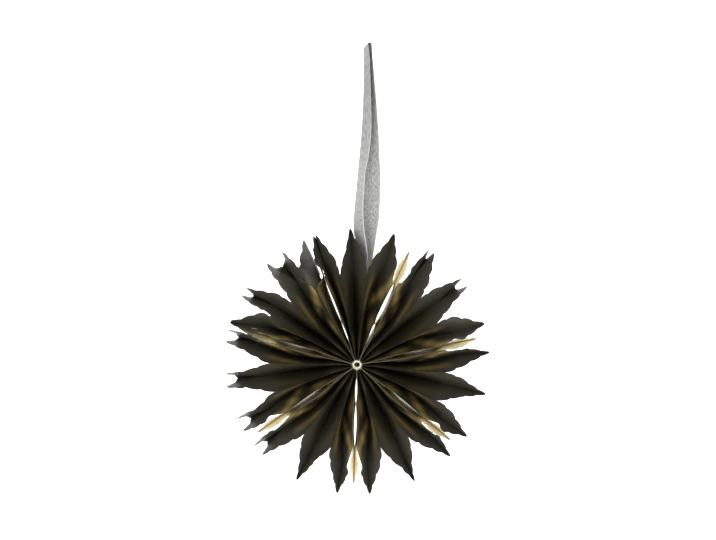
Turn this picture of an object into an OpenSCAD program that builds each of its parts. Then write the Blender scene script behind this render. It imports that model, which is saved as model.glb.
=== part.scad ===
// Pleated paper star, hung by a ribbon loop.
// Die-cut leaves stand on edge around a hub. They are glued to each other by turns along
// the middle line and along the two long edges, so that they fan out like paper bags.
// The hub's axis lies along Y, the star faces -Y, and the origin is where the loop hangs.

/* [Star] */
// Distance from the hub's axis to the tips of the black petals
star_r = 150; // [146:1:170]
// How much shorter the gold leaves are
gold_drop = 13; // [8:1:18]
// Width of a leaf along the hub's axis
leaf_w = 66; // [54:1:76]
// Distance from the hub's axis to the notches between petals
notch_r = 93; // [84:1:98]
// Radius at which the leaves have fanned out from the hub
fan_r = 15; // [14:0.5:18]

/* [Paper] */
// Thickness of the paper
paper_t = 0.3; // [0.2:0.01:0.34]
// Gap that the glue leaves between two leaves
glue_gap = 0.06; // [0.05:0.01:0.08]
// How far each leaf of a black pair stands off the middle line between two spots of glue
petal_gape = 0.1; // [0.05:0.05:0.6]
// Distance from the hub's axis to the two spots of glue on each middle line
inner_glue_r = 48; // [44:1:52]
outer_glue_r = 96; // [92:1:104]

/* [Petal outline] */
// Width of a petal where its first lobe ends
first_lobe_end_w = 54; // [50:1:58]
// Width of a petal where its second lobe starts
second_lobe_w = 49; // [44:0.5:52]
// Width of a petal where its third lobe starts
third_lobe_w = 32; // [28:0.5:34]
// Width of the finger at a petal's tip
finger_w = 13; // [9:0.2:15]
// Length of the finger at a petal's tip
finger_l = 11; // [9:0.5:14]

/* [Ribbon] */
// Width of the ribbon
ribbon_w = 20; // [14:0.5:24]
// Thickness of the ribbon
ribbon_t = 0.5; // [0.3:0.05:0.6]
// Height of the loop's inside above the hub's axis
hang_h = 357; // [330:1:400]
// Distance that the loop hangs to the right of the hub's axis
hang_x = 12; // [8:0.5:16]
// Gap across the inside of the loop at its top
loop_gap = 6.5; // [5.5:0.5:9]

/* [Hidden] */
// Directions are in degrees, anticlockwise from +X as seen from the front.
// Middle line of each black petal, going clockwise
petal_angle = [
    93, 74, 56.5, 36.5, 16.5, 4.5, -14.5, -34.5, -45, -64, -84.5,
    -98, -117, -138, -151.5, -171.5, -190.5, -200.5, -214, -233, -251
];
// How far each middle line bows aside between the hub and the free end, away from the gold
petal_bow = [0, 6, -6, 1, 6.5, -6, 0, 6.5, -6, 2, 6.5, -6.5, -2, 6, -6, 0, 6, -4, 0, 4, -2.5];
// How far the tips of each petal's left and right leaf lean from its middle line
tip_lean = [
    [0, 0], [-0.2, -0.2], [0.6, -1.7], [1.7, -2.2], [0.1, 0.1], [-0.4, -0.4], [0.2, 0.2],
    [0.2, 0.2], [-0.4, -0.4], [-0.3, -0.3], [0, 0], [-0.6, -0.6], [-0.1, -0.1], [2.4, -2.4],
    [2.6, -2.9], [2.4, -2.9], [1.8, -3], [3.2, 2.8], [4.1, 0.6], [5.4, -2.5], [0, -0.8]
];
// How far the front wings of each petal's left and right leaf have turned out at the tip
tip_turn = [
    [-5, 10], [10, 10], [-10, 20], [10, -5], [30, -10], [0, 0], [5, -15],
    [10, -15], [0, 0], [-5, -10], [5, -10], [-10, 5], [-20, -5], [0, -5],
    [-15, -10], [-10, -5], [-5, 5], [-5, 30], [-10, 10], [10, 10], [-5, 15]
];
// The petal that each gold pair follows, the pair's middle line, and how far each of its
// leaves stands off that line between two spots of glue
gold_after = [1, 4, 7, 10, 13, 16, 19];
gold_angle = [64.6, 10.9, -40, -91.6, -144.6, -195.8, -248.4];
gold_gape = [2.9, 1.3, 1.2, 1.2, 1.3, 1.5, 0.9];
// How far the front wings of each pair's left and right leaf have turned out at the tip
gold_turn = [[15, 15], [10, 10], [10, 10], [10, 10], [10, 10], [5, 5], [-15, 5]];
// The edges that a gold pair shares with its neighbours: their angle off its middle line,
// and how far they bow away from it
gold_spread = 1.6;
gold_edge_bow = 1.6;
// Where the fan closes: the edges shared there, the cover's middle line,
// and how far the cover's front wing has turned out at its tip
seam_angle = -241;
cover_angle = -246.6;
cover_turn = 90;
// Room left at the seam's edges between the cover and the last gold pair
seam_room = 0.4;
// The inner gape of a pair as a share of the outer one
inner_gape = 0.55;
// Shares of the free end over which the leaves lean, the front wings turn out
// and the back wings turn in
lean_span = [0.12, 1];
turn_span = [0, 0.65];
cover_turn_span = [0.2, 1];
back_span = [0.12, 0.45];
// Shares of the way from the notch to the finger where the first two lobes end
first_lobe_end = 0.33;
second_lobe_end = 0.7;
// What is left of its width at the end of the second lobe, the third lobe and the finger
second_lobe_left = 0.36;
third_lobe_left = 0.28;
finger_left = 0.08;
// Greatest sine of a back wing's turn, and the share of its room that it takes up
back_turn_limit = 0.45;
back_turn_share = 0.93;

black_count = len(petal_angle);
gold_count = len(gold_angle);
seam_petal = gold_after[gold_count - 1];
leaf_count = 2 * black_count + 2 * gold_count + 1;
gold_r = star_r - gold_drop;
bow_end_r = mix(notch_r, star_r, 1 / 3);
half_w = leaf_w / 2;
// Two glued leaves are this far on either side of the line that they share
half_pitch = (paper_t + glue_gap) / 2;
// The leaves stand side by side around the hub, which sets its radius
hub_r = leaf_count * (paper_t + glue_gap) / (2 * PI);

NODES = [
    for (k = [1:black_count]) each [petal_name(k, "left"), petal_name(k, "right")],
    for (g = [1:gold_count]) each [gold_name(g, "left"), gold_name(g, "right")],
    "seam_cover",
    "ribbon"
];
node = "all";

function petal_name(k, side) = str("petal_", k < 10 ? "0" : "", k, "_", side);
function gold_name(g, side) = str("gold_", g, "_", side);
function wanted(name) = node == "all" || node == name;
function mix(a, b, share) = a + (b - a) * share;
function share_of(r, start, end) = min(1, max(0, (r - start) / (end - start)));
function ease(share) = share * share * (3 - 2 * share);
function mean(list) = list * [for (value = list) 1] / len(list);
function dir(angle) = [cos(angle), 0, sin(angle)];
function across(angle) = [-sin(angle), 0, cos(angle)];

// Which gold pair follows petal k, if one does
function gold_of(k) = search(k, gold_after)[0];
function is_gold_gap(k) = len(search(k, gold_after)) > 0;
function petal_dir(k) = k < black_count ? petal_angle[k] : petal_angle[0] - 360;

// Direction of the long edges that a petal shares with the next leaf on either side
function right_edge(k) =
    k == seam_petal ? seam_angle
    : is_gold_gap(k) ? gold_angle[gold_of(k)] + gold_spread
    : (petal_angle[k] + petal_dir(k + 1)) / 2;
function left_edge(k) =
    k == 0 ? right_edge(black_count - 1) + 360
    : is_gold_gap(k - 1) ? gold_angle[gold_of(k - 1)] - gold_spread
    : right_edge(k - 1);

// Place of each leaf in the stack around the hub, counted clockwise
function gold_before(k) = len([for (after = gold_after) if (after < k) after]);
function petal_slot(k) = 2 * k + 2 * gold_before(k) + (k > seam_petal ? 1 : 0);
function gold_slot(g) = petal_slot(gold_after[g]) + (gold_after[g] == seam_petal ? 3 : 2);
cover_slot = petal_slot(seam_petal) + 2;
slot_turn = 360 / leaf_count;
first_slot_dir = mean([for (k = [0:black_count - 1]) petal_angle[k] + slot_turn * (petal_slot(k) + 0.5)]);
function slot_dir(slot) = first_slot_dir - slot_turn * slot;

// A lobe of the die-cut outline runs from one radius to another, as
// [start radius, end radius, half width at its start, half width at its end, roundness]
lobe_gap = 1.5;
finger_base_r = star_r - finger_l;
first_lobe_end_r = mix(notch_r, finger_base_r, first_lobe_end);
second_lobe_end_r = mix(notch_r, finger_base_r, second_lobe_end);
second_lobe_r = first_lobe_end_r + lobe_gap;
third_lobe_r = second_lobe_end_r + lobe_gap;
petal_lobes = [
    [notch_r, first_lobe_end_r, half_w, first_lobe_end_w / 2, 1.5],
    [second_lobe_r, second_lobe_end_r, second_lobe_w / 2, second_lobe_left * second_lobe_w, 2.1],
    [third_lobe_r, finger_base_r, third_lobe_w / 2, third_lobe_left * third_lobe_w, 2.3],
    [finger_base_r + lobe_gap / 2, star_r, finger_w / 2, finger_left * finger_w, 1.3]
];
// A gold leaf is cut to the petals' outline, made smaller
gold_scale = gold_r / star_r;
gold_notch_r = notch_r * gold_scale;
gold_lobes = [
    for (lobe = petal_lobes) [
        lobe[0] * gold_scale,
        lobe[1] * gold_scale,
        lobe[0] == notch_r ? half_w : lobe[2] * gold_scale,
        lobe[3] * gold_scale,
        lobe[4]
    ]
];
petal_lobe_faces = [2, 2, 2, 1];
gold_lobe_faces = [2, 2, 2, 2];

// Points of the outline from the hub to the first notch, where the leaves have their full
// width, and from notch to tip, as [radius, half width]
full_width = [
    for (r = [
        hub_r, fan_r, mix(fan_r, inner_glue_r, 0.5), inner_glue_r,
        mix(inner_glue_r, gold_notch_r, 0.45), mix(inner_glue_r, gold_notch_r, 0.9)
    ]) [r, half_w]
];
function outline(lobes, faces) = [
    for (i = [0:len(lobes) - 1])
        for (j = [0:faces[i]])
            let (lobe = lobes[i], share = j / faces[i])
            [mix(lobe[0], lobe[1], share), mix(lobe[2], lobe[3], pow(share, lobe[4]))]
];
petal_outline = concat(full_width, outline(petal_lobes, petal_lobe_faces));
gold_outline = concat(full_width, outline(gold_lobes, gold_lobe_faces));

// How far one leaf of a pair stands off the middle line: a lens between two spots of glue
function lens(r, gape) =
    r <= fan_r || r >= outer_glue_r ? 0
    : r < inner_glue_r ? inner_gape * gape * sin(180 * share_of(r, fan_r, inner_glue_r))
    : gape * sin(180 * share_of(r, inner_glue_r, outer_glue_r));

// Rises from the fan's start and falls again to the end radius
function arch(r, end_r) = sin(180 * share_of(r, fan_r, end_r));

// How much of a change over a span of the free end is reached at a radius
function reached(r, tip_r, span) =
    ease(share_of(r, mix(notch_r, tip_r, span[0]), mix(notch_r, tip_r, span[1])));

// A bag is spread until the notch, and a free wing keeps the spread that it has there.
// spread is the direction of the edge less that of the middle line.
function bag_r(r) = min(max(r, fan_r), notch_r);
function inward(r, spread) = bag_r(r) * (cos(spread) - 1) / half_w;
function fold(r, spread) = asin(2 * bag_r(r) * sin(spread / 2) / half_w);
function reach(r, spread) = sqrt(1 - pow(inward(r, spread), 2));

// One wing of a leaf runs from the middle line to a long edge. This is its direction, with
// the middle line along the first axis. The edge is as far forward as the neighbour's, whose
// spread is deep, and front is 1 or -1.
function wing(r, spread, deep, front, turn) =
    [
        inward(r, spread),
        -front * reach(r, deep) * cos(abs(fold(r, deep)) + sign(spread) * turn),
        reach(r, spread) * sin(fold(r, spread) + turn)
    ];

// A leaf is [middle line, edges, slot, [mid offset, edge offset], [gape, bow, edge bow],
// depth spread, [tip radius, lean, turn, turn span, angle between the pair's two tips]].
// These are the six corners of its section at one radius, around the paper's thickness.
function section(leaf, r, w) =
    let (
        middle = leaf[0],
        spread = leaf[1] - leaf[0],
        side = sign(spread),
        tip_r = leaf[6][0],
        leant = reached(r, tip_r, lean_span),
        gap = r * sin(leaf[6][4] / 2 * leant),
        turned_in = side * asin(min(back_turn_limit, back_turn_share * gap / w)),
        turns = [
            side * leaf[6][2] * reached(r, tip_r, leaf[6][3]),
            -(turned_in + fold(r, spread)) * reached(r, tip_r, back_span)
        ],
        out = dir(middle),
        aside = across(middle),
        off = side * (leaf[3][0] + lens(r, leaf[4][0])) + leaf[4][1] * arch(r, bow_end_r),
        line = max(r, fan_r) * dir(middle + leaf[6][1] * leant) + off * aside,
        edge_shift = leaf[4][2] * arch(r, notch_r) * across(leaf[1])
            - (1 - share_of(r, notch_r, bow_end_r)) * (side * leaf[3][1] + off) * aside,
        wings = [for (i = [0, 1]) wing(r, spread, leaf[5], 1 - 2 * i, turns[i])],
        edges = [
            for (d = wings) line + w * (d[0] * out + d[2] * aside + [0, d[1], 0]) + w / half_w * edge_shift
        ],
        normals = [for (d = wings) (-d[1] * aside + [0, d[2], 0]) / norm([d[1], d[2]])],
        half_t = paper_t / 2
    )
    [
        edges[0] + half_t * normals[0],
        line + half_t * aside,
        edges[1] - half_t * normals[1],
        edges[1] + half_t * normals[1],
        line - half_t * aside,
        edges[0] - half_t * normals[0]
    ];

// At the hub the leaves stand flat, side by side
function hub_section(leaf) =
    let (
        stand = slot_dir(leaf[2]),
        half_t = paper_t / 2
    )
    [
        for (corner = [[-1, 1], [0, 1], [1, 1], [1, -1], [0, -1], [-1, -1]])
            hub_r * dir(stand) + [0, corner[0] * half_w, 0] + corner[1] * half_t * across(stand)
    ];

// Skin around sections of equal length, closed at both ends. The two faces of a sheet are
// split along the same diagonals, which keeps its thickness even where it twists, so the
// corners in mirrored have their diagonal the other way.
module skin(sections, end_faces, mirrored) {
    n = len(sections[0]);
    last = len(sections) - 1;
    sides = [
        for (i = [0:last - 1])
            for (j = [0:n - 1])
                let (a = i * n + j, b = i * n + (j + 1) % n)
                each len(search(j, mirrored)) > 0
                    ? [[a, b, a + n], [b, b + n, a + n]]
                    : [[a, b, b + n], [a, b + n, a + n]]
    ];
    ends = [for (f = end_faces) each [f, [for (i = [len(f) - 1:-1:0]) f[i] + last * n]]];
    polyhedron([for (s = sections) each s], concat(sides, ends), convexity = 6);
}

module leaf(leaf, stations) {
    sections = [
        hub_section(leaf),
        for (i = [1:len(stations) - 1]) section(leaf, stations[i][0], stations[i][1])
    ];
    translate([-hang_x, 0, -hang_h])
        skin(sections, [[5, 4, 1], [5, 1, 0], [4, 3, 2], [4, 2, 1]], [1, 4]);
}

module petal_leaf(k, right) {
    at_seam = k == seam_petal && right == 1;
    edge = right == 1 ? right_edge(k) : left_edge(k);
    by_gold = is_gold_gap(right == 1 ? k : k - 1) && !at_seam;
    color("#32322c")
        leaf(
            [
                petal_angle[k],
                edge,
                petal_slot(k) + right,
                [half_pitch, at_seam ? 2 * half_pitch : half_pitch],
                [petal_gape, petal_bow[k], by_gold ? (2 * right - 1) * gold_edge_bow : 0],
                edge - petal_angle[k],
                [star_r, tip_lean[k][right], tip_turn[k][right], turn_span, tip_lean[k][0] - tip_lean[k][1]]
            ],
            petal_outline
        );
}

module gold_leaf(g, right) {
    k = gold_after[g];
    at_seam = k == seam_petal && right == 0;
    edge = right == 1 ? left_edge(k + 1) : right_edge(k);
    color("#c8a45a")
        leaf(
            [
                gold_angle[g],
                edge,
                gold_slot(g) + right,
                [half_pitch, at_seam ? 3 * half_pitch + seam_room : half_pitch],
                [gold_gape[g], 0, at_seam ? 0 : (1 - 2 * right) * gold_edge_bow],
                edge - (at_seam ? gold_angle[g] : petal_angle[k + right]),
                [gold_r, 0, gold_turn[g][right], turn_span, 0]
            ],
            gold_outline
        );
}

module seam_cover() {
    color("#4a4944")
        leaf(
            [
                cover_angle,
                seam_angle,
                cover_slot,
                [half_pitch, 0],
                [0, 0, 0],
                seam_angle - cover_angle,
                [star_r, 0, cover_turn, cover_turn_span, 0]
            ],
            petal_outline
        );
}

// The ribbon runs up from the bag between the first two petals, over the top and back down.
// It lies flat in the bag, where the edges of both strands rest against the leaves.
bag_angle = right_edge(0);
bag_spread = petal_angle[0] - bag_angle;
seat_gap = 0.3;
seat_room = ribbon_t + seat_gap + paper_t / 2 - half_pitch;
seat_share = seat_room / (fan_r * sin(bag_spread) * (1 - ribbon_w / leaf_w));
ribbon_end_r = mix(hub_r, fan_r, seat_share);
strand_gap = 0.04;
strand_x = (ribbon_t + strand_gap) / 2;
loop_x = (loop_gap + ribbon_t) / 2;
loop_top_h = hang_h + ribbon_t / 2 - loop_x;
bag_top_h = notch_r * sin(bag_angle);

// Stations of the left and right strand between the bag and the top, as
// [share of the height, distance to the right of the hanging point, turn of the ribbon],
// where the ribbon faces the front at no turn and shows its edge at 90 degrees
left_stations = [
    [0.06, -1.6, 80], [0.14, -6, 62], [0.2, -9.5, 53], [0.26, -10.4, 58], [0.32, -10, 62], [0.39, -8.5, 64],
    [0.46, -7, 65], [0.52, -4.6, 59], [0.62, -1.9, 57], [0.74, -1.6, 67], [0.86, -2.6, 78], [0.95, -3.4, 88]
];
right_stations = [
    [0.06, 1.2, 76], [0.14, 2, 54], [0.2, 2.6, 40], [0.26, 3.6, 22], [0.32, 4.3, 15], [0.39, 4.9, 12],
    [0.46, 4.9, 14], [0.52, 4.4, 20], [0.62, 4, 31], [0.74, 3.5, 47], [0.86, 3.1, 67], [0.95, 3.4, 86]
];
function bag_middle(r) =
    r < fan_r
        ? mix(hub_r * dir(slot_dir(petal_slot(0) + 1.5)), fan_r * dir(bag_angle), share_of(r, hub_r, fan_r))
        : r * dir(bag_angle);
function strand(stations, side) = [
    for (r = [ribbon_end_r, fan_r, mix(fan_r, notch_r, 0.5), notch_r])
        let (point = bag_middle(r))
        [point[0] + side * strand_x, point[2], 90],
    for (s = stations) [hang_x + s[1], mix(bag_top_h, loop_top_h, s[0]), s[2]]
];
loop_faces = 8;
loop_arc = [
    for (i = [0:loop_faces])
        let (a = 180 - 180 * i / loop_faces)
        [hang_x + loop_x * cos(a), loop_top_h + loop_x * sin(a), 90]
];
right_strand = strand(right_stations, 1);
ribbon_route = concat(
    strand(left_stations, -1),
    loop_arc,
    [for (i = [len(right_strand) - 1:-1:0]) right_strand[i]]
);

module ribbon() {
    last = len(ribbon_route) - 1;
    sections = [
        for (i = [0:last])
            let (
                here = ribbon_route[i],
                before = ribbon_route[max(0, i - 1)],
                after = ribbon_route[min(last, i + 1)],
                along = [after[0] - before[0], 0, after[1] - before[1]],
                width = [cos(here[2]), -sin(here[2]), 0] * ribbon_w / 2,
                normal = cross(along, width),
                thick = normal / norm(normal) * ribbon_t / 2,
                centre = [here[0], 0, here[1]]
            )
            [centre - width - thick, centre + width - thick, centre + width + thick, centre - width + thick]
    ];
    color("#bdbdba")
        translate([-hang_x, 0, -hang_h])
            skin(sections, [[3, 2, 1], [3, 1, 0]], [2]);
}

for (k = [0:black_count - 1]) {
    if (wanted(petal_name(k + 1, "left"))) petal_leaf(k, 0);
    if (wanted(petal_name(k + 1, "right"))) petal_leaf(k, 1);
}
for (g = [0:gold_count - 1]) {
    if (wanted(gold_name(g + 1, "left"))) gold_leaf(g, 0);
    if (wanted(gold_name(g + 1, "right"))) gold_leaf(g, 1);
}
if (wanted("seam_cover")) seam_cover();
if (wanted("ribbon")) ribbon();
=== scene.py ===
import math
import random

import bmesh
import bpy
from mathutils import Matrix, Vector


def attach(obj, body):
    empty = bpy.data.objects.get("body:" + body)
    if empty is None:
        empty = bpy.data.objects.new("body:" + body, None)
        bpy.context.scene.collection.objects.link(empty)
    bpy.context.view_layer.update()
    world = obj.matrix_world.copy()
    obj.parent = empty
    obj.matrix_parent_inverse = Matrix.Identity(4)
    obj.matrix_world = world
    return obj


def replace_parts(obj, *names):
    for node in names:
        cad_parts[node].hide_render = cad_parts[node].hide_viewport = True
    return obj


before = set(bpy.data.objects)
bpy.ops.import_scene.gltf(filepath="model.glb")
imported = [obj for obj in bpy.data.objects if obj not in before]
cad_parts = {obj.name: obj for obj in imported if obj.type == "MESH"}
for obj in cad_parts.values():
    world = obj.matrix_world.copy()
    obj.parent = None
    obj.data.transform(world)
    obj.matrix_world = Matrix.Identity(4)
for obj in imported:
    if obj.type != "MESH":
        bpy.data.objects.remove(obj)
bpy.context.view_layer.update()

# Sizes are in millimetres around the hub and directions in degrees, anticlockwise from +X as
# seen from the front. The leaves' directions, lengths and spots of glue are the solids' own
MM = 0.001
HUB = Vector((-12.0, 0.0, -357.0))
STAR_R, GOLD_DROP, NOTCH_R, FAN_R = 150.0, 13.0, 93.0, 15.0
GOLD_R = STAR_R - GOLD_DROP
HALF_W = 33.0
FINGER_LEN = 11.0
FINGER_BASE_R = STAR_R - FINGER_LEN
FIRST_LOBE_END, SECOND_LOBE_END = 0.33, 0.7
LOBE_STEP, FINGER_STEP, TIP_ROUNDING = 1.5, 0.75, 0.5
LOBE_FACES, HALF_FACES = 7, 9
PAPER_T, GLUE_GAP = 0.3, 0.06
HALF_PITCH = (PAPER_T + GLUE_GAP) / 2
INNER_GLUE_R, OUTER_GLUE_R, INNER_GAPE = 48.0, 96.0, 0.8
GOLD_SPREAD, GOLD_EDGE_BOW = 1.6, 1.6

# Where a free end leans and turns, as shares of the way from the notch to the tip
LEAN_SPAN, TURN_SPAN, BACK_SPAN = (0.25, 0.95), (0, 0.65), (0.1, 0.28)
COVER_TURN_SPAN, SEAM_GOLD_TURN_SPAN = (0.05, 0.6), (0, 0.3)

# Front wings: how far the first lobes bulge out, and how little the tips may be turned
BULGE_AT, BULGE_REACH, BULGE, BULGE_BESIDE_GOLD = 114, 24, math.radians(6), 0.6
LEAST_TURN, LEAST_TURN_R = math.radians(23), (104, 124)

# Back wings: the share of the way to the next petal that they reach before they turn back, and
# the sine of the turn that closes the gap in a parted pair, at most on the body and the finger
BACK_TOUCH, BACK_TOUCH_LIMIT, BACK_TOUCH_LEN = 0.97, 0.8, 6.0
BODY_CLOSED, FINGER_CLOSED, FINGER_CLOSED_R = 0.8, 0.25, (137, 141)

# How much a bag's side bows in, and the length of the waves in a free end
BAG_BOW, FREE_BOW, WAVE_LEN, WAVE_SHIFT = 0.075, 0.5, 11.0, 1.5
CURL, WAVE = 1.6, (0.3, 0.9)

# The petals, clockwise from the one left of the ribbon: the direction of each middle line, then
# the lean and the turn of the free end of its left and right leaf
PETAL_AT = [
    93, 74, 56.5, 36.5, 16.5, 4.5, -14.5, -34.5, -45, -64, -84.5,
    -98, -117, -138, -151.5, -171.5, -190.5, -200.5, -214, -233, -251,
]
TIP_LEAN = [
    (0, 0), (-0.2, -0.2), (0.6, -1.7), (1.7, -2.2), (0.1, 0.1), (-0.4, -0.4), (0.2, 0.2),
    (0.2, 0.2), (-0.4, -0.4), (-0.3, -0.3), (0, 0), (-0.6, -0.6), (-0.1, -0.1), (2.4, -2.4),
    (2.6, -2.9), (2.4, -2.9), (1.8, -3), (3.2, 2.8), (4.1, 0.6), (5.4, -2.5), (0, -0.8),
]
TIP_TURN = [
    (-5, 10), (10, 10), (-10, 20), (10, -5), (30, -10), (0, 0), (5, -15),
    (10, -15), (0, 0), (-5, -10), (5, -10), (-10, 5), (-20, -5), (0, -5),
    (-15, -10), (-10, -5), (-5, 5), (-5, 30), (-10, 10), (10, 10), (-5, 15),
]
# How far each petal's middle line bows to the left, in millimetres
PETAL_BOW = [0, 6, -6, 1, 6.5, -6, 0, 6.5, -6, 2, 6.5, -6.5, -2, 6, -6, 0, 6, -4, 0, 4, -2.5]

# The gold pairs: the petal before each, counted from 0, its direction, how far it gapes, and the
# turn of its left and right leaf's free end
GOLD_AFTER = [1, 4, 7, 10, 13, 16, 19]
GOLD_AT = [64.6, 10.9, -40, -91.6, -144.6, -195.8, -248.4]
GOLD_GAPE = [2.9, 1.3, 1.2, 1.2, 1.3, 1.5, 0.7]
GOLD_TURN = [(15, 15), (16, 16), (14, 14), (13, 13), (13, 13), (22, 22), (-22, 5)]

# The seam, where the fan was closed, and the cover on it
SEAM_AT, COVER_AT, COVER_TURN, SEAM_ROOM = -241.0, -246.6, 90.0, 0.4
# SEAM_GOLD_PALE: how much painted light the seam's gold leaf gets; the rest is painted shade
SEAM_PETAL, SEAM_GOLD_PALE = GOLD_AFTER[-1], 0.1
LEAVES = 2 * len(PETAL_AT) + 2 * len(GOLD_AT) + 1
HUB_R = LEAVES * (PAPER_T + GLUE_GAP) / (2 * math.pi)

RIBBON_W, RIBBON_T, RIBBON_PLAY, STRAND_GAP = 20.0, 0.5, 0.3, 0.04
ROUTE_STEPS, RIBBON_FACES, LOOP_STEP = 6, 14, 30
HANG_H, HANG_X, LOOP_GAP, LOOP_TURN = 357.0, 12.0, 3.5, 76


def mix(a, b, share):
    return a + (b - a) * share


def share_of(value, start, end):
    return min(1.0, max(0.0, (value - start) / (end - start)))


def smooth(value, start, end):
    s = share_of(value, start, end)
    return s * s * (3 - 2 * s)


def reached(r, tip_r, span):
    """How much of a change over a span of the free end is reached at a radius."""
    return smooth(r, mix(NOTCH_R, tip_r, span[0]), mix(NOTCH_R, tip_r, span[1]))


def outward(angle):
    return Vector((math.cos(math.radians(angle)), 0, math.sin(math.radians(angle))))


def aside_of(angle):
    return Vector((-math.sin(math.radians(angle)), 0, math.cos(math.radians(angle))))


def right_edge(k):
    if k == SEAM_PETAL:
        return SEAM_AT
    if k in GOLD_AFTER:
        return GOLD_AT[GOLD_AFTER.index(k)] + GOLD_SPREAD
    after = PETAL_AT[k + 1] if k + 1 < len(PETAL_AT) else PETAL_AT[0] - 360
    return (PETAL_AT[k] + after) / 2


def left_edge(k):
    if k == 0:
        return right_edge(len(PETAL_AT) - 1) + 360
    if k - 1 in GOLD_AFTER:
        return GOLD_AT[GOLD_AFTER.index(k - 1)] - GOLD_SPREAD
    return right_edge(k - 1)


def petal_slot(k):
    gold_before = sum(after < k for after in GOLD_AFTER)
    return 2 * k + 2 * gold_before + (1 if k > SEAM_PETAL else 0)


SLOT_TURN = 360 / LEAVES
FIRST_SLOT_AT = sum(
    at + SLOT_TURN * (petal_slot(k) + 0.5) for k, at in enumerate(PETAL_AT)
) / len(PETAL_AT)


# The die-cut leaves


def cut_outline(tip_r):
    """The free end of a leaf, from the notch to the tip, as (distance from the hub, half width)."""
    size = tip_r / STAR_R
    first = mix(NOTCH_R, FINGER_BASE_R, FIRST_LOBE_END)
    second = mix(NOTCH_R, FINGER_BASE_R, SECOND_LOBE_END)
    # Where each lobe starts and ends, its half width there, and how round its shoulder is
    lobes = [
        (NOTCH_R, first, HALF_W, 27.0, 1.5),
        (first + LOBE_STEP, second, 24.8, 17.6, 2.2),
        (second + LOBE_STEP, FINGER_BASE_R, 15.6, 7.6, 2.3),
        (FINGER_BASE_R + FINGER_STEP, STAR_R, 7.0, 1.1, 1.5),
    ]
    points = []
    for start, end, wide, narrow, roundness in lobes:
        for i in range(LOBE_FACES + 1):
            s = i / LOBE_FACES
            w = mix(wide, narrow, s**roundness)
            w = mix(HALF_W, w, size) if start == NOTCH_R and size < 1 else w * size
            points.append((mix(start, end, s) * size, w))
    tip, half = points[-1]
    points[-1] = (tip - TIP_ROUNDING, half)
    points.append((tip, half * 0.5))
    return points


INNER_STATIONS = [HUB_R, 6, 9, 12, FAN_R, 20, 26, 32, 37.5, 43, INNER_GLUE_R, 54, 60, 66, 72]
STATION_ROOM = 4


def leaf_stations(tip_r):
    """Where a leaf's rows of points lie, as (distance from the hub, half width)."""
    notch = NOTCH_R * tip_r / STAR_R
    inner = [r for r in INNER_STATIONS if r < notch - STATION_ROOM]
    inner.append((inner[-1] + notch) / 2)
    return [(r, HALF_W) for r in inner] + cut_outline(tip_r)


def lens(r, gape):
    """How far one leaf of a pair stands off the middle line between two spots of glue."""
    if not FAN_R < r < OUTER_GLUE_R:
        return 0.0
    if r < INNER_GLUE_R:
        return INNER_GAPE * gape * math.sin(math.pi * share_of(r, FAN_R, INNER_GLUE_R))
    return gape * math.sin(math.pi * share_of(r, INNER_GLUE_R, OUTER_GLUE_R))


BOW_END_R = mix(NOTCH_R, STAR_R, 1 / 3)


def arch(r, end):
    return math.sin(math.pi * share_of(r, FAN_R, end))


def wing(bag_r, spread):
    """Direction of a wing on a bag spread this far: inward, aside and down."""
    inward = bag_r * (math.cos(math.radians(spread)) - 1) / HALF_W
    fold = math.asin(2 * bag_r * math.sin(math.radians(spread) / 2) / HALF_W)
    return inward, fold, math.sqrt(1 - inward**2)


def hump(value, centre, half_width):
    """A soft hump, 1 at the centre and 0 from the half width on."""
    return 1 - smooth(abs(value - centre), 0, half_width)


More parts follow.
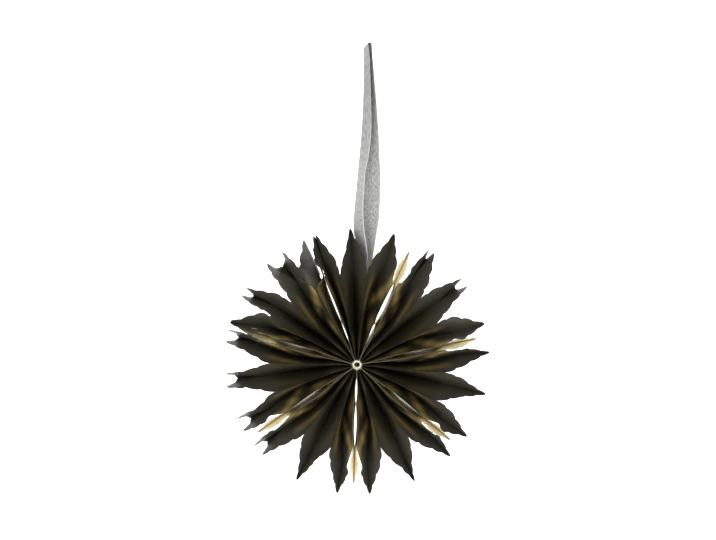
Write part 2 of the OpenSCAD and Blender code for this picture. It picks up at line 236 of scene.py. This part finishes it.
def leaf_point(leaf, r, w, half, front):
    """Where a point of a leaf lies: w is its distance from the middle line, half the leaf's
    half width there, and front is 1 or -1."""
    spread = leaf["edge"] - leaf["middle"]
    side = math.copysign(1, spread)
    tip_r = leaf["tip_r"]
    free = share_of(r, NOTCH_R, tip_r)
    leant = reached(r, tip_r, LEAN_SPAN)
    flare, across = max(r, FAN_R), w / HALF_W
    out, aside = outward(leaf["middle"]), aside_of(leaf["middle"])
    off = side * (leaf["mid_off"] + lens(r, leaf["gape"])) + leaf["bow"] * arch(r, BOW_END_R)
    line = flare * outward(leaf["middle"] + leaf["lean"] * leant) + off * aside
    bag_r = min(flare, NOTCH_R)
    inward, fold, length = wing(bag_r, spread)
    deep_fold, deep_length = wing(bag_r, leaf["depth_spread"])[1:]
    if front > 0:
        turn = side * math.radians(leaf["turn"]) * reached(r, tip_r, leaf["turn_span"])
        if tip_r == STAR_R:
            # The first two lobes bulge out, and past them no wing stands edge-on
            bulge = BULGE * (BULGE_BESIDE_GOLD if leaf["beside_gold"] == TOUCHES_GOLD else 1)
            turn += side * bulge * hump(r, BULGE_AT, BULGE_REACH)
            least = LEAST_TURN * smooth(r, *LEAST_TURN_R)
            turn = side * max(side * turn, least - abs(fold))
    else:
        # Past the notch the back wings still touch their neighbours', then turn straight back,
        # and where a pair's tips part they close the gap between them
        gap = flare * math.sin(math.radians(leaf["split"] / 2 * leant))
        limit = mix(BODY_CLOSED, FINGER_CLOSED, smooth(r, *FINGER_CLOSED_R))
        closed = -side * math.asin(min(limit, gap / half))
        reach = BACK_TOUCH * flare * abs(math.sin(math.radians(spread)))
        touching = side * math.asin(min(BACK_TOUCH_LIMIT, reach / half))
        kept = mix(fold, touching, smooth(r, NOTCH_R, NOTCH_R + BACK_TOUCH_LEN))
        turn = mix(kept, closed, reached(r, tip_r, BACK_SPAN)) - fold
    fall, rise = deep_length * math.cos(abs(deep_fold) + side * turn), length * math.sin(fold + turn)
    point = line + w * (inward * out + rise * aside + Vector((0, -front * fall, 0)))
    point -= across * (1 - share_of(r, NOTCH_R, BOW_END_R)) * (side * leaf["edge_off"] + off) * aside
    point += across * leaf["edge_bow"] * arch(r, NOTCH_R) * aside_of(leaf["edge"])

    # The wing bows into the petal like the side of a filled bag, and its free end waves a little
    room = abs(math.sin(math.radians(spread))) * bag_r
    bow = BAG_BOW * room * math.sin(math.pi * min(1, across)) * (1 - FREE_BOW * free)
    wave = leaf["wave"] * free * across * math.sin(leaf["phase"] + r / WAVE_LEN + WAVE_SHIFT * front)
    normal = (fall * aside + Vector((0, front * rise, 0))).normalized()
    point += (side * (wave - bow)) * normal

    if r < FAN_R:
        stand = FIRST_SLOT_AT - SLOT_TURN * leaf["slot"]
        at_hub = HUB_R * outward(stand) + Vector((0, -front * w, 0))
        point = at_hub.lerp(point, (r - HUB_R) / (FAN_R - HUB_R))
    return point


# Which leaves the gold foil lights: the one that touches a gold pair, and the other leaf of
# the same petal
TOUCHES_GOLD, NEAR_GOLD, NO_GOLD = 2, 1, 0

# Where painted light and shade fall, in millimetres: _R from the hub and _W from the middle
# line, either as (from, to), which it fades in or out over, or as (centre, reach) of a soft patch
PALE_TIP_R, GROOVE_W, GROOVE_LIGHT = (84, 98), (0.5, 3), 0.25
GAPING_R, GAPING_END_R, GAPING_W, GAPING_LIGHT = (20, 30), 90, (3, 9), 0.9
HUB_LIGHT_R, HUB_LIGHT = (22, 16), 0.2
OUTER_PATCH_DRIFT_R, OUTER_PATCH_REACH, OUTER_PATCH_LIGHT = (58, 100), 13, 0.8
OUTER_PATCH_IN_R, OUTER_PATCH_OUT_R = (58, 72), (98, 122)
INNER_PATCH_R, INNER_PATCH_W, INNER_PATCH_LIGHT = (46, 16), (22, 16), 0.7
STREAK_DRIFT_R, STREAK_DRIFT, STREAK_REACH = (60, 100), (0.95, 0.55), 9
STREAK_IN_R, STREAK_OUT_R, STREAK_LIGHT, FAINT_STREAK_LIGHT = (55, 66), (88, 112), 0.33, 0.06
SEAM_PATCH_R, SEAM_PATCH_W, SEAM_PATCH_LIGHT = (80, 26), (30, 16), 0.7
HUB_PAINTED_LIGHT_R, HUB_PAINTED_LIGHT, TIP_PAINTED_LIGHT_R = (18, 38), 0.6, (70, 122)


def painted_foil_light(leaf, r, w):
    """How much painted light pales a gold leaf: a painted highlight at its free end, but for painted
    shade in the groove along its middle line, and where light comes through the gaping middle."""
    tip = leaf["pale"] * smooth(r, *PALE_TIP_R) * mix(GROOVE_LIGHT, 1, smooth(w, *GROOVE_W))
    gaping = GAPING_LIGHT * leaf["pale"] * (1 - smooth(w, *GAPING_W)) * smooth(r, *GAPING_R)
    return max(tip, gaping) if r < GAPING_END_R else tip


def painted_gold_light(leaf, r, w):
    """How much painted reflection of the gold foil a black leaf gets: a little all round the hub,
    two patches on a leaf that touches a gold pair, and on others a streak along the long edge."""
    deep = HUB_LIGHT * hump(r, *HUB_LIGHT_R)
    if leaf["beside_gold"] == TOUCHES_GOLD:
        drift = HALF_W * smooth(r, *OUTER_PATCH_DRIFT_R)
        outer = OUTER_PATCH_LIGHT * hump(w, drift, OUTER_PATCH_REACH)
        outer *= smooth(r, *OUTER_PATCH_IN_R) * (1 - smooth(r, *OUTER_PATCH_OUT_R))
        inner = INNER_PATCH_LIGHT * hump(w, *INNER_PATCH_W) * hump(r, *INNER_PATCH_R)
        return deep + outer + inner
    drift = HALF_W * mix(*STREAK_DRIFT, share_of(r, *STREAK_DRIFT_R))
    streak = hump(w, drift, STREAK_REACH) * smooth(r, *STREAK_IN_R) * (1 - smooth(r, *STREAK_OUT_R))
    return deep + (STREAK_LIGHT if leaf["beside_gold"] == NEAR_GOLD else FAINT_STREAK_LIGHT) * streak


def seam_shade(leaf, r, w):
    """How much painted shade darkens a gold leaf at the seam, but for one patch of painted light."""
    patch = SEAM_PATCH_LIGHT * hump(w, *SEAM_PATCH_W) * hump(r, *SEAM_PATCH_R)
    return (1 - leaf["pale"]) * (1 - patch)


def painted_light_by_depth(r):
    """Painted light and shade on the black paper by radius: painted shade keeps it dark and brown deep in
    the star, and painted light lifts it towards grey a little at the hub, then at the tips.
    """
    return HUB_PAINTED_LIGHT * (1 - smooth(r, *HUB_PAINTED_LIGHT_R)) + smooth(r, *TIP_PAINTED_LIGHT_R)


def make_leaf(name, leaf, paper, edge_paper):
    """A die-cut sheet: a grid whose rows are laid along the leaf's stations, given its thickness."""
    stations = leaf_stations(leaf["tip_r"])
    rows = len(stations) - 1
    bm = bmesh.new()
    bmesh.ops.create_grid(bm, x_segments=rows, y_segments=2 * HALF_FACES, size=1)
    uv = bm.loops.layers.uv.new("leaf")
    glow = bm.verts.layers.float.new("glow")
    reach = bm.verts.layers.float.new("reach")
    hub_glint = bm.verts.layers.float.new("hub_glint")
    shade = bm.verts.layers.float.new("shade")
    flat = {}
    for v in bm.verts:
        i = round((v.co.x + 1) / 2 * rows)
        across = v.co.y
        r, half = stations[i]
        front = 1 if across < 0 else -1
        w = abs(across) * half
        free = share_of(r, NOTCH_R, leaf["tip_r"])
        flat[v] = (0.5 + 0.5 * across * half / HALF_W, r / STAR_R)
        # The glow is painted light: reflection of the gold foil on black leaves, highlights on gold ones
        v[glow] = (painted_gold_light if leaf["tip_r"] == STAR_R else painted_foil_light)(leaf, r, w)
        # Painted glint on the cut edges where the leaves meet at the hub
        v[hub_glint] = 1.0 if i == 0 else 0.0
        # Painted shade on the seam's gold leaf
        v[shade] = seam_shade(leaf, r, w)
        # Painted shade deep in the star and painted light at the hub and the tips of the black paper
        v[reach] = painted_light_by_depth(r)
        v.co = (HUB + leaf_point(leaf, r, w, half, front)) * MM
        v.co.y += leaf["curl"] * free**3 * MM
    for face in bm.faces:
        face.smooth = True
        for loop in face.loops:
            loop[uv].uv = flat[loop.vert]
    for edge in bm.edges:
        if edge.is_boundary or all(abs(flat[v][0] - 0.5) < 1e-6 for v in edge.verts):
            edge.smooth = False
    mesh = bpy.data.meshes.new(name)
    bm.to_mesh(mesh)
    bm.free()
    mesh.materials.append(paper)
    mesh.materials.append(edge_paper)
    piece = bpy.data.objects.new(name, mesh)
    bpy.context.collection.objects.link(piece)
    wall = piece.modifiers.new("paper thickness", "SOLIDIFY")
    wall.thickness = 2 * HALF_PITCH * MM
    wall.offset = 0
    wall.use_even_offset = True
    wall.material_offset_rim = 1
    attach(piece, "root")
    return piece


# Finishes


def new_finish(name):
    material = bpy.data.materials.new(name)
    material.use_nodes = True
    nodes, links = material.node_tree.nodes, material.node_tree.links
    shader = nodes["Principled BSDF"]
    return material, nodes, links, shader


def add_noise(nodes, links, scale, detail=4.0, source=None, stretch=None):
    place = nodes.new("ShaderNodeTexCoord")
    start = place.outputs[source or "Object"]
    if stretch:
        mapping = nodes.new("ShaderNodeMapping")
        mapping.inputs["Scale"].default_value = stretch
        links.new(start, mapping.inputs["Vector"])
        start = mapping.outputs["Vector"]
    grain = nodes.new("ShaderNodeTexNoise")
    grain.inputs["Scale"].default_value = scale
    grain.inputs["Detail"].default_value = detail
    links.new(start, grain.inputs["Vector"])
    return grain.outputs["Fac"]


def spread_range(nodes, links, value, low, high, to_low, to_high):
    span = nodes.new("ShaderNodeMapRange")
    span.inputs["From Min"].default_value = low
    span.inputs["From Max"].default_value = high
    span.inputs["To Min"].default_value = to_low
    span.inputs["To Max"].default_value = to_high
    links.new(value, span.inputs["Value"])
    return span.outputs["Result"]


def blend_colours(nodes, links, share, first, second):
    blend = nodes.new("ShaderNodeMix")
    blend.data_type = "RGBA"
    for socket, colour in ((blend.inputs[6], first), (blend.inputs[7], second)):
        if isinstance(colour, tuple):
            socket.default_value = (*colour, 1)
        else:
            links.new(colour, socket)
    links.new(share, blend.inputs[0])
    return blend.outputs[2]


def add_bump(nodes, links, shader, height, strength, depth):
    bump = nodes.new("ShaderNodeBump")
    bump.inputs["Strength"].default_value = strength
    bump.inputs["Distance"].default_value = depth
    links.new(height, bump.inputs["Height"])
    links.new(bump.outputs["Normal"], shader.inputs["Normal"])


def times(nodes, links, a, b):
    product = nodes.new("ShaderNodeMath")
    product.operation = "MULTIPLY"
    links.new(a, product.inputs[0])
    links.new(b, product.inputs[1])
    return product.outputs[0]


def read_attribute(nodes, name):
    attribute = nodes.new("ShaderNodeAttribute")
    attribute.attribute_name = name
    return attribute.outputs["Fac"]


def black_paper_finish(name, deep, pale):
    """Satin black paper, with painted shade that keeps it dark and brown deep in the star, painted light
    that greys it towards its tips, and painted reflections of the gold foil.
    """
    material, nodes, links, shader = new_finish(name)
    # Painted shade deep in the star and painted light at the hub and the tips, by the reach attribute
    cloud = spread_range(nodes, links, add_noise(nodes, links, 38, 3), 0.3, 0.7, 0.8, 1.0)
    share = times(nodes, links, read_attribute(nodes, "reach"), cloud)
    body = blend_colours(nodes, links, share, deep, pale)
    # Painted reflection of the gold foil, by the glow attribute
    patch = spread_range(nodes, links, add_noise(nodes, links, 55, 2), 0.25, 0.75, 0.6, 1.0)
    share = times(nodes, links, read_attribute(nodes, "glow"), patch)
    links.new(blend_colours(nodes, links, share, body, (0.36, 0.26, 0.08)), shader.inputs["Base Color"])
    links.new(
        spread_range(nodes, links, add_noise(nodes, links, 240, 5), 0.3, 0.7, 0.42, 0.56),
        shader.inputs["Roughness"],
    )
    shader.inputs["Specular IOR Level"].default_value = 0.42
    fibres = add_noise(nodes, links, 1500, 6)
    add_bump(nodes, links, shader, fibres, 0.25, 0.00008)
    return material


def gold_foil_finish():
    """Gold foil paper, darker with painted shade at the seam, pale with painted light at the tips, and
    nearly white where light comes through.
    """
    material, nodes, links, shader = new_finish("gold foil paper")
    cloud = spread_range(nodes, links, add_noise(nodes, links, 60, 3), 0.3, 0.7, 0, 1)
    foil = blend_colours(nodes, links, cloud, (0.26, 0.20, 0.08), (0.40, 0.32, 0.14))
    # Painted shade on the gold leaf at the seam
    foil = blend_colours(nodes, links, read_attribute(nodes, "shade"), foil, (0.035, 0.028, 0.012))
    # Painted highlight: pale cream and less metallic at the tips and where light comes through
    pale = read_attribute(nodes, "glow")
    links.new(blend_colours(nodes, links, pale, foil, (0.95, 0.86, 0.62)), shader.inputs["Base Color"])
    links.new(spread_range(nodes, links, pale, 0, 1, 0.6, 0.0), shader.inputs["Metallic"])
    links.new(
        spread_range(nodes, links, add_noise(nodes, links, 320, 4), 0.3, 0.7, 0.3, 0.46),
        shader.inputs["Roughness"],
    )
    add_bump(nodes, links, shader, add_noise(nodes, links, 700, 5), 0.3, 0.0001)
    return material


def plain_edge_finish(name, first, second):
    """The paper's cut edge, with a painted pale glint where the leaves meet at the hub."""
    material, nodes, links, shader = new_finish(name)
    grain = add_noise(nodes, links, 900, 4)
    body = blend_colours(nodes, links, grain, first, second)
    # Painted glint at the hub
    hub_glint = read_attribute(nodes, "hub_glint")
    links.new(blend_colours(nodes, links, hub_glint, body, (0.95, 0.88, 0.70)), shader.inputs["Base Color"])
    shader.inputs["Roughness"].default_value = 0.9
    shader.inputs["Specular IOR Level"].default_value = 0.15
    add_bump(nodes, links, shader, grain, 0.3, 0.00005)
    return material


def ribbon_finish():
    """Grey velvet ribbon: a crushed, mottled pile between two smooth, paler selvedges, and
    darker blotches towards the loop."""
    material, nodes, links, shader = new_finish("grey velvet ribbon")
    mottle = add_noise(nodes, links, 12, 3, "UV", (1, 0.45, 1))
    streak = add_noise(nodes, links, 5, 3, "UV", (1, 0.3, 1))
    pile = spread_range(nodes, links, mottle, 0.36, 0.64, 0, 1)
    body = blend_colours(nodes, links, pile, (0.19, 0.19, 0.185), (0.43, 0.43, 0.42))
    worn = spread_range(nodes, links, streak, 0.42, 0.7, 0, 0.6)
    body = blend_colours(nodes, links, worn, body, (0.33, 0.33, 0.325))
    rim = read_attribute(nodes, "selvedge")
    body = blend_colours(nodes, links, rim, body, (0.6, 0.6, 0.585))
    cloud = add_noise(nodes, links, 7, 3, "UV", (1, 0.6, 1))
    blotch = spread_range(nodes, links, cloud, 0.4, 0.6, 0.35, 0.9)
    dark = times(nodes, links, read_attribute(nodes, "shade"), blotch)
    links.new(blend_colours(nodes, links, dark, body, (0.13, 0.13, 0.12)), shader.inputs["Base Color"])
    shader.inputs["Roughness"].default_value = 0.85
    shader.inputs["Sheen Weight"].default_value = 0.35
    shader.inputs["Sheen Roughness"].default_value = 0.4
    add_bump(nodes, links, shader, mottle, 0.6, 0.0004)
    return material


BLACK = black_paper_finish("satin black paper", (0.016, 0.013, 0.005), (0.038, 0.037, 0.026))
# A paler copy of the satin black paper: painted light on the seam cover, which is seen face-on
COVER_PAINTED_LIT = black_paper_finish("seam cover paper", (0.015, 0.012, 0.006), (0.075, 0.073, 0.064))
# Darker than the black paper's faces: painted shade on the cut edges, which face the lamps
BLACK_EDGE = plain_edge_finish("cut edge of black paper", (0.005, 0.005, 0.004), (0.012, 0.011, 0.009))
GOLD = gold_foil_finish()
GOLD_EDGE = plain_edge_finish("cut edge of gold paper", (0.10, 0.08, 0.03), (0.16, 0.13, 0.06))
VELVET = ribbon_finish()


# The star

random.seed(21)


def leaf_of(middle, edge, slot, **traits):
    leaf = {
        "middle": middle, "edge": edge, "slot": slot, "lean": 0.0, "turn": 0.0, "split": 0.0,
        "mid_off": HALF_PITCH, "edge_off": HALF_PITCH, "gape": 0.0, "bow": 0.0, "edge_bow": 0.0,
        "depth_spread": edge - middle, "tip_r": STAR_R, "turn_span": TURN_SPAN,
        "beside_gold": NO_GOLD, "pale": 1.0,
        "wave": random.uniform(*WAVE),
        "phase": random.uniform(0, 6.28),
        "curl": random.uniform(-CURL, CURL),
    }
    leaf.update(traits)
    return leaf


for k, at in enumerate(PETAL_AT):
    curl = random.uniform(-CURL, CURL)
    for right, side in enumerate(("left", "right")):
        next_to_gold = k in GOLD_AFTER if right else k - 1 in GOLD_AFTER
        near_gold = k in GOLD_AFTER or k - 1 in GOLD_AFTER
        edge_bow = GOLD_EDGE_BOW if right else -GOLD_EDGE_BOW
        at_seam = k == SEAM_PETAL and right
        leaf = leaf_of(
            at,
            right_edge(k) if right else left_edge(k),
            petal_slot(k) + right,
            lean=TIP_LEAN[k][right],
            turn=TIP_TURN[k][right],
            split=TIP_LEAN[k][0] - TIP_LEAN[k][1],
            edge_off=(2 if at_seam else 1) * HALF_PITCH,
            bow=PETAL_BOW[k],
            edge_bow=edge_bow if next_to_gold and not at_seam else 0.0,
            beside_gold=TOUCHES_GOLD if next_to_gold else NEAR_GOLD if near_gold else NO_GOLD,
            curl=curl,
        )
        name = f"petal_{k + 1:02d}_{side}"
        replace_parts(make_leaf("leaf_" + name, leaf, BLACK, BLACK_EDGE), name)

for g, at in enumerate(GOLD_AT):
    k = GOLD_AFTER[g]
    curl = random.uniform(-CURL, CURL)
    for right, side in enumerate(("left", "right")):
        at_seam = k == SEAM_PETAL and not right
        edge = left_edge(k + 1) if right else right_edge(k)
        leaf = leaf_of(
            at,
            edge,
            petal_slot(k) + (3 if k == SEAM_PETAL else 2) + right,
            edge_off=3 * HALF_PITCH + SEAM_ROOM if at_seam else HALF_PITCH,
            gape=GOLD_GAPE[g],
            turn=GOLD_TURN[g][right],
            edge_bow=0.0 if at_seam else (-GOLD_EDGE_BOW if right else GOLD_EDGE_BOW),
            depth_spread=edge - at if at_seam else edge - PETAL_AT[k + 1 if right else k],
            tip_r=GOLD_R,
            pale=SEAM_GOLD_PALE if at_seam else 1.0,
            turn_span=SEAM_GOLD_TURN_SPAN if at_seam else TURN_SPAN,
            curl=curl,
        )
        name = f"gold_{g + 1}_{side}"
        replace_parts(make_leaf("leaf_" + name, leaf, GOLD, GOLD_EDGE), name)

cover = leaf_of(
    COVER_AT,
    SEAM_AT,
    petal_slot(SEAM_PETAL) + 2,
    edge_off=0.0,
    turn=COVER_TURN,
    turn_span=COVER_TURN_SPAN,
)
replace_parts(make_leaf("leaf_seam_cover", cover, COVER_PAINTED_LIT, BLACK_EDGE), "seam_cover")


# The ribbon

# Stations as (share of the height from the bag to the loop, distance to the right of the
# hanging point, turn), with the ribbon face-on at no turn and edge-on at 90 degrees
LEFT_STATIONS = [
    (0.06, -1.6, 80), (0.14, -6, 62), (0.2, -9.5, 53), (0.26, -10.4, 58), (0.32, -10, 62), (0.39, -8.5, 64),
    (0.46, -7, 65), (0.52, -4.6, 59), (0.62, -1.9, 57), (0.74, -0.9, 63), (0.86, -0.9, 68), (0.95, -1.2, 72),
]
RIGHT_STATIONS = [
    (0.06, 1.2, 76), (0.14, 2, 54), (0.2, 2.6, 40), (0.26, 3.6, 22), (0.32, 4.3, 15), (0.39, 4.9, 12),
    (0.46, 4.9, 14), (0.52, 4.4, 20), (0.62, 4, 31), (0.74, 3.3, 46), (0.86, 2.4, 60), (0.95, 1.9, 70),
]
BAG_AT = right_edge(0)
SEAT_ROOM = RIBBON_T + RIBBON_PLAY + PAPER_T / 2 - HALF_PITCH
BAG_ROOM = FAN_R * math.sin(math.radians(PETAL_AT[0] - BAG_AT)) * (1 - RIBBON_W / (2 * HALF_W))
SEAT_SHARE = SEAT_ROOM / BAG_ROOM
RIBBON_END_R = mix(HUB_R, FAN_R, SEAT_SHARE)
LOOP_X = (LOOP_GAP + RIBBON_T) / 2
LOOP_TOP_H = HANG_H + RIBBON_T / 2 - LOOP_X
BAG_TOP_H = NOTCH_R * math.sin(math.radians(BAG_AT))


def strand(stations, side):
    """One strand's centre line, from its end at the hub through the bag to the loop."""
    route = []
    at_hub = HUB_R * outward(FIRST_SLOT_AT - SLOT_TURN * (petal_slot(0) + 1.5))
    at_fan = FAN_R * outward(BAG_AT)
    for r in (RIBBON_END_R, FAN_R, mix(FAN_R, NOTCH_R, 0.5), NOTCH_R):
        point = at_hub.lerp(at_fan, share_of(r, HUB_R, FAN_R)) if r < FAN_R else r * outward(BAG_AT)
        route.append((point.x + side * (RIBBON_T + STRAND_GAP) / 2, point.z, 90))
    return route + [(HANG_X + x, mix(BAG_TOP_H, LOOP_TOP_H, s), turn) for s, x, turn in stations]


def smooth_route(points, steps):
    """Curve through every station, with its turn carried along."""
    route = []
    for i in range(len(points) - 1):
        before = points[max(0, i - 1)]
        a, b = points[i], points[i + 1]
        after = points[min(len(points) - 1, i + 2)]
        for j in range(steps):
            t = j / steps
            route.append(tuple(
                a[c] + 0.5 * t * (
                    b[c] - before[c]
                    + t * (2 * before[c] - 5 * a[c] + 4 * b[c] - after[c])
                    + t * t * (3 * (a[c] - b[c]) + after[c] - before[c])
                )
                for c in range(3)
            ))
    return route + [points[-1]]


loop = [
    (HANG_X - LOOP_X * math.cos(a), LOOP_TOP_H + LOOP_X * math.sin(a), LOOP_TURN)
    for a in map(math.radians, range(0, 181, LOOP_STEP))
]
stations = strand(LEFT_STATIONS, -1) + loop + strand(RIGHT_STATIONS, 1)[::-1]
route = smooth_route(stations, ROUTE_STEPS)
ribbon_length = sum(
    math.hypot(b[0] - a[0], b[1] - a[1]) for a, b in zip(route, route[1:])
)

bm = bmesh.new()
bmesh.ops.create_grid(bm, x_segments=len(route) - 1, y_segments=RIBBON_FACES, size=1)
uv = bm.loops.layers.uv.new("ribbon")
selvedge = bm.verts.layers.float.new("selvedge")
shade = bm.verts.layers.float.new("shade")
flat = {}
for v in bm.verts:
    i = round((v.co.x + 1) / 2 * (len(route) - 1))
    share = v.co.y
    x, z, turn = route[i]
    width = Vector((math.cos(math.radians(turn)), -math.sin(math.radians(turn)), 0))
    flat[v] = (0.5 + 0.5 * share, i / (len(route) - 1) * ribbon_length / RIBBON_W)
    v[selvedge] = smooth(abs(share), 0.9, 0.96)
    v[shade] = smooth(z, HANG_H - 150, HANG_H - 10)
    v.co = (HUB + Vector((x, 0, z)) + share * RIBBON_W / 2 * width) * MM
for face in bm.faces:
    face.smooth = True
    for loop_corner in face.loops:
        loop_corner[uv].uv = flat[loop_corner.vert]
mesh = bpy.data.meshes.new("ribbon_strip")
bm.to_mesh(mesh)
bm.free()
mesh.materials.append(VELVET)
ribbon = bpy.data.objects.new("ribbon_strip", mesh)
bpy.context.collection.objects.link(ribbon)
wall = ribbon.modifiers.new("ribbon thickness", "SOLIDIFY")
wall.thickness = RIBBON_T * MM
wall.offset = 0
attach(ribbon, "root")
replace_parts(ribbon, "ribbon")


# Studio


FLOOR_Z, FLOOR_FRONT_Y, FLOOR_BACK_Y = -0.75, -3.0, 0.9
SWEEP_R, SWEEP_HALF_W, SWEEP_TOP_Z = 0.6, 3.2, 3.0
FLOOR_SHARE, CURVE_SHARE = 0.5, 0.2


def studio_sheet():
    """Pale floor that sweeps up into a backdrop behind the star."""
    bm = bmesh.new()
    bmesh.ops.create_grid(bm, x_segments=1, y_segments=40, size=1)
    for v in bm.verts:
        s = (v.co.y + 1) / 2
        a = share_of(s, FLOOR_SHARE, FLOOR_SHARE + CURVE_SHARE) * math.pi / 2
        y = mix(FLOOR_FRONT_Y, FLOOR_BACK_Y, share_of(s, 0, FLOOR_SHARE)) + SWEEP_R * math.sin(a)
        z = FLOOR_Z + SWEEP_R * (1 - math.cos(a))
        z = mix(z, SWEEP_TOP_Z, share_of(s, FLOOR_SHARE + CURVE_SHARE, 1))
        v.co = Vector((v.co.x * SWEEP_HALF_W, y, z))
    for face in bm.faces:
        face.smooth = True
    mesh = bpy.data.meshes.new("studio_sweep")
    bm.to_mesh(mesh)
    bm.free()
    sweep = bpy.data.objects.new("studio_sweep", mesh)
    bpy.context.collection.objects.link(sweep)
    material, nodes, links, shader = new_finish("white studio sweep")
    shader.inputs["Base Color"].default_value = (0.93, 0.93, 0.93, 1)
    shader.inputs["Roughness"].default_value = 0.9
    shader.inputs["Emission Color"].default_value = (1, 1, 1, 1)
    shader.inputs["Emission Strength"].default_value = 0.75
    mesh.materials.append(material)


def soft_light(name, place, target, size, power):
    lamp = bpy.data.lights.new(name, "AREA")
    lamp.shape = "RECTANGLE"
    lamp.size, lamp.size_y = size
    lamp.energy = power
    light = bpy.data.objects.new(name, lamp)
    light.location = place
    light.rotation_euler = (Vector(target) - Vector(place)).to_track_quat("-Z", "Y").to_euler()
    bpy.context.collection.objects.link(light)


studio_sheet()
middle = (HUB.x * MM, 0, HUB.z * MM)
soft_light("key light", (0.5, -1.5, 0.7), middle, (1.2, 1.2), 17)
soft_light("fill light", (-1.3, -1.2, -0.1), middle, (1.2, 1.2), 8)
soft_light("back light", (0.0, 0.5, 1.4), (0, 1.5, -0.3), (2.4, 0.8), 40)

world = bpy.data.worlds.new("studio")
world.use_nodes = True
world.node_tree.nodes["Background"].inputs["Color"].default_value = (1, 1, 1, 1)
world.node_tree.nodes["Background"].inputs["Strength"].default_value = 0.42
bpy.context.scene.world = world
bpy.context.scene.view_settings.view_transform = "Standard"

lens_data = bpy.data.cameras.new("camera")
lens_data.sensor_width = 36
lens_data.lens = 39.5
camera = bpy.data.objects.new("camera", lens_data)
camera.location = (-0.0109, -0.886, -0.2538)
camera.rotation_euler = (math.pi / 2, 0, 0)
bpy.context.collection.objects.link(camera)
bpy.context.scene.camera = camera
